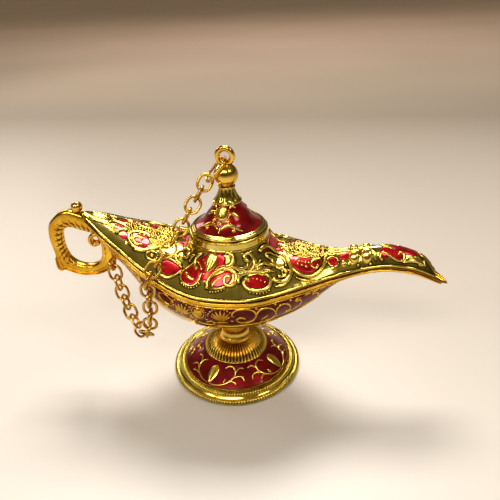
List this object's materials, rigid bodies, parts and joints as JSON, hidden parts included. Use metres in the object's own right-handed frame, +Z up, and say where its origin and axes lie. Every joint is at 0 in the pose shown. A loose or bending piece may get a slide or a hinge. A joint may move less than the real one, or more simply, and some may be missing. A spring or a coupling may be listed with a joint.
{
  "type": "genie oil lamp",
  "caption": "Oil lamp in gilt brass with red enamel: boat-shaped bowl on a fluted foot, curled handle, long spout, and a pointed lid that lifts off on a chain of oval links",
  "frame": {"origin": "centre of the foot's flat underside", "axes": "+X runs to the spout, +Y is the lamp's far side as pictured, +Z is up"},
  "size_m": [0.1399, 0.0492, 0.088],
  "materials": {
    "polished_gilt": "bright polished yellow gilding over cast brass",
    "satin_gilt": "softer satin gilding, ochre in the hollows",
    "chain_gilt": "gilt brass wire, lightly polished",
    "red_enamel": "translucent deep red glass enamel fired on metal, high gloss",
    "brass_screw": "plain turned brass"
  },
  "bodies": {
    "root": {"bowl": "polished_gilt", "bowl_enamel": "red_enamel", "chain_lug": "polished_gilt", "chain_rim_link": "chain_gilt", "deck": "polished_gilt", "deck_enamel": "red_enamel", "fluted_stem": "satin_gilt", "foot_base": "satin_gilt", "foot_enamel": "red_enamel", "foot_screw": "brass_screw", "handle": "satin_gilt", "handle_knob": "polished_gilt", "lid_collar": "satin_gilt", "screw_washer": "brass_screw"},
    "lid": {"lid": "polished_gilt", "lid_enamel": "red_enamel", "finial_ball": "polished_gilt", "finial_eye": "polished_gilt", "jump_link": "chain_gilt"},
    "run_link_01": {"chain_link_01": "chain_gilt"},
    "run_link_02": {"chain_link_02": "chain_gilt"},
    "run_link_03": {"chain_link_03": "chain_gilt"},
    "run_link_04": {"chain_link_04": "chain_gilt"},
    "run_link_05": {"chain_link_05": "chain_gilt"},
    "run_link_06": {"chain_link_06": "chain_gilt"},
    "run_link_07": {"chain_link_07": "chain_gilt"},
    "run_link_08": {"chain_link_08": "chain_gilt"},
    "run_link_09": {"chain_link_09": "chain_gilt"},
    "chain_loop": {"loop_link_01": "chain_gilt", "loop_link_02": "chain_gilt", "loop_link_03": "chain_gilt", "loop_link_04": "chain_gilt", "loop_link_05": "chain_gilt", "loop_link_06": "chain_gilt", "loop_link_07": "chain_gilt", "loop_link_08": "chain_gilt", "loop_link_09": "chain_gilt", "loop_link_10": "chain_gilt", "loop_link_11": "chain_gilt", "loop_link_12": "chain_gilt", "loop_link_13": "chain_gilt", "loop_link_14": "chain_gilt"}
  },
  "joints": [
    {"name": "lid_lift", "type": "slide", "parent": "root", "child": "lid", "axis": [0, 0, 1], "range_m": [0, 0.0045]},
    {"name": "chain_link_01_follow", "type": "slide", "parent": "root", "child": "run_link_01", "axis": [0, 0, 1], "range_m": [0, 0.00405]},
    {"name": "chain_link_02_follow", "type": "slide", "parent": "root", "child": "run_link_02", "axis": [0, 0, 1], "range_m": [0, 0.0036]},
    {"name": "chain_link_03_follow", "type": "slide", "parent": "root", "child": "run_link_03", "axis": [0, 0, 1], "range_m": [0, 0.00315]},
    {"name": "chain_link_04_follow", "type": "slide", "parent": "root", "child": "run_link_04", "axis": [0, 0, 1], "range_m": [0, 0.0027]},
    {"name": "chain_link_05_follow", "type": "slide", "parent": "root", "child": "run_link_05", "axis": [0, 0, 1], "range_m": [0, 0.00225]},
    {"name": "chain_link_06_follow", "type": "slide", "parent": "root", "child": "run_link_06", "axis": [0, 0, 1], "range_m": [0, 0.0018]},
    {"name": "chain_link_07_follow", "type": "slide", "parent": "root", "child": "run_link_07", "axis": [0, 0, 1], "range_m": [0, 0.00135]},
    {"name": "chain_link_08_follow", "type": "slide", "parent": "root", "child": "run_link_08", "axis": [0, 0, 1], "range_m": [0, 0.0009]},
    {"name": "chain_link_09_follow", "type": "slide", "parent": "root", "child": "run_link_09", "axis": [0, 0, 1], "range_m": [0, 0.00045]},
    {"name": "chain_swing", "type": "hinge", "parent": "root", "child": "chain_loop", "pos_m": [-0.02389, -0.02081, 0.04822], "axis": [-0.7372, 0.6638, -0.1264], "range_deg": [0, 35]}
  ],
  "couplings": [
    {"joint": "chain_link_01_follow", "follows": "lid_lift", "ratio": 0.9},
    {"joint": "chain_link_02_follow", "follows": "lid_lift", "ratio": 0.8},
    {"joint": "chain_link_03_follow", "follows": "lid_lift", "ratio": 0.7},
    {"joint": "chain_link_04_follow", "follows": "lid_lift", "ratio": 0.6},
    {"joint": "chain_link_05_follow", "follows": "lid_lift", "ratio": 0.5},
    {"joint": "chain_link_06_follow", "follows": "lid_lift", "ratio": 0.4},
    {"joint": "chain_link_07_follow", "follows": "lid_lift", "ratio": 0.3},
    {"joint": "chain_link_08_follow", "follows": "lid_lift", "ratio": 0.2},
    {"joint": "chain_link_09_follow", "follows": "lid_lift", "ratio": 0.1}
  ]
}
